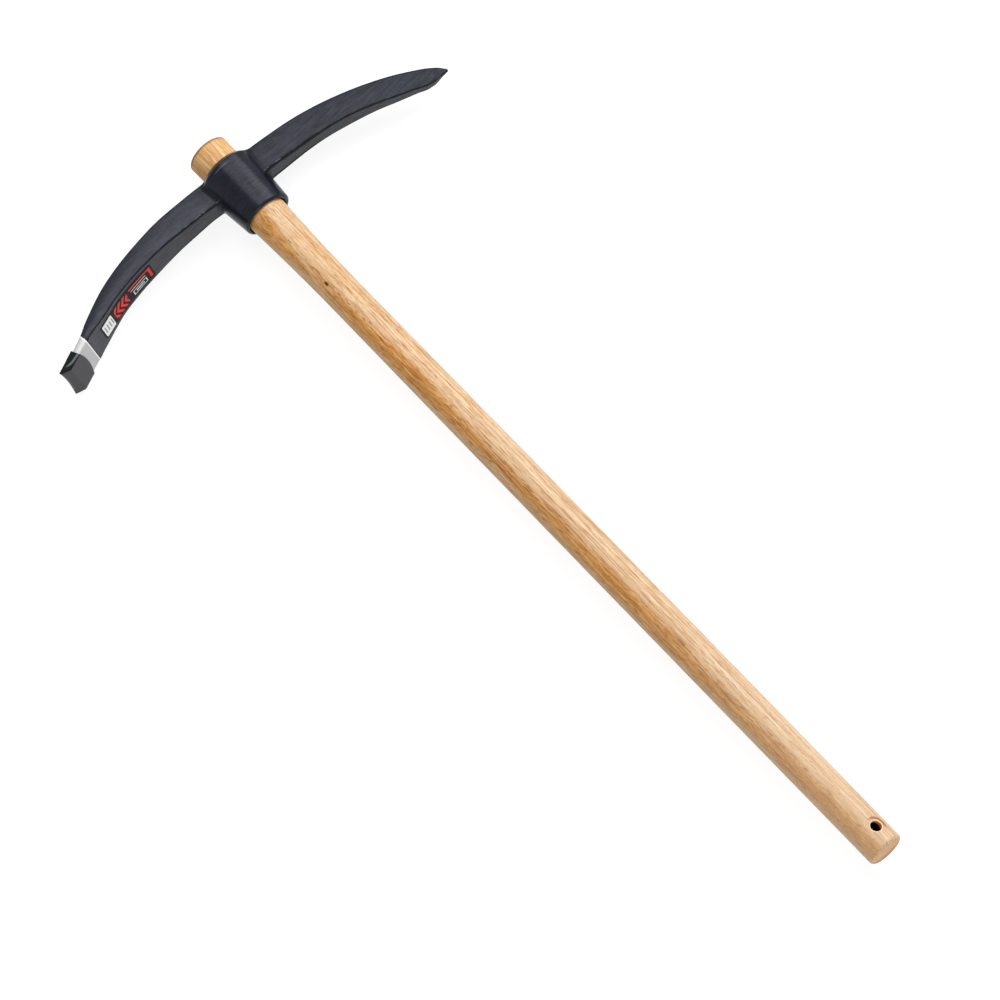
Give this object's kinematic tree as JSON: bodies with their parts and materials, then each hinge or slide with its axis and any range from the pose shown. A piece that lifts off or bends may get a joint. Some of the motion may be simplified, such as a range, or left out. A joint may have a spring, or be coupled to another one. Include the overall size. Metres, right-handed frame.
{
  "type": "pick mattock",
  "caption": "Hand digging tool with a forged steel head, a pointed arm and a narrow chisel arm, on a straight drop-on wooden handle with a hanging hole.",
  "frame": {"origin": "centre of the flat crown face of the handle, at the head end", "axes": "+X along the handle from the crown to the butt; +Y towards the point, -Y towards the chisel; Z across the arms"},
  "size_m": [0.8, 0.3943, 0.0512],
  "materials": {
    "handle_wood": "satin",
    "head_paint": "satin",
    "guard_plastic": "satin",
    "label_film": "satin"
  },
  "bodies": {
    "shaft": {"handle": "handle_wood"},
    "head": {"pick_head": "head_paint", "label": "label_film"},
    "guard": {"edge_guard": "guard_plastic"}
  },
  "joints": [
    {"name": "head_slide", "type": "slide", "parent": "shaft", "child": "head", "axis": [1, 0, 0], "range_m": [0, 0.79]},
    {"name": "guard_slide", "type": "slide", "parent": "head", "child": "guard", "axis": [0.4147, -0.91, 0], "range_m": [0, 0.03]}
  ]
}
